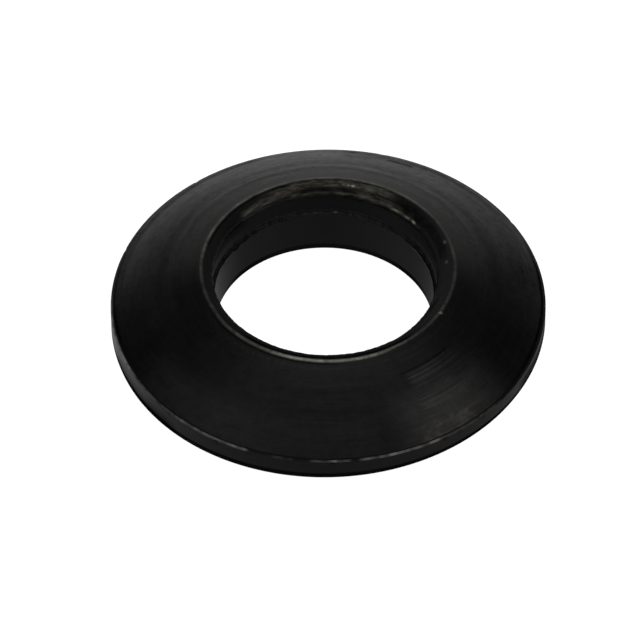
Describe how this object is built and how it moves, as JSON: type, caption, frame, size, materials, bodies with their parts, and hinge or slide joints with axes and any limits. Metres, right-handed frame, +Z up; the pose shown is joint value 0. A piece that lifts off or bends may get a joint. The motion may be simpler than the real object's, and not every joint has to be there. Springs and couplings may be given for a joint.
{
  "type": "spherical washer",
  "caption": "Convex spherical washer: a turned ring with a flat base, a straight rim, a domed seat that tilts in a conical mate, and a round bore for a bolt.",
  "frame": {"origin": "centre of the flat base, on the axis of the rim and the seat", "axes": "+Z up, from the base towards the domed seat; the axis of the bore lies 0.22 mm towards -X"},
  "size_m": [0.024, 0.024, 0.0047],
  "materials": {
    "black_oxide_steel": "satin black oxide over turned steel"
  },
  "bodies": {
    "root": {"spherical_washer": "black_oxide_steel"}
  },
  "joints": []
}
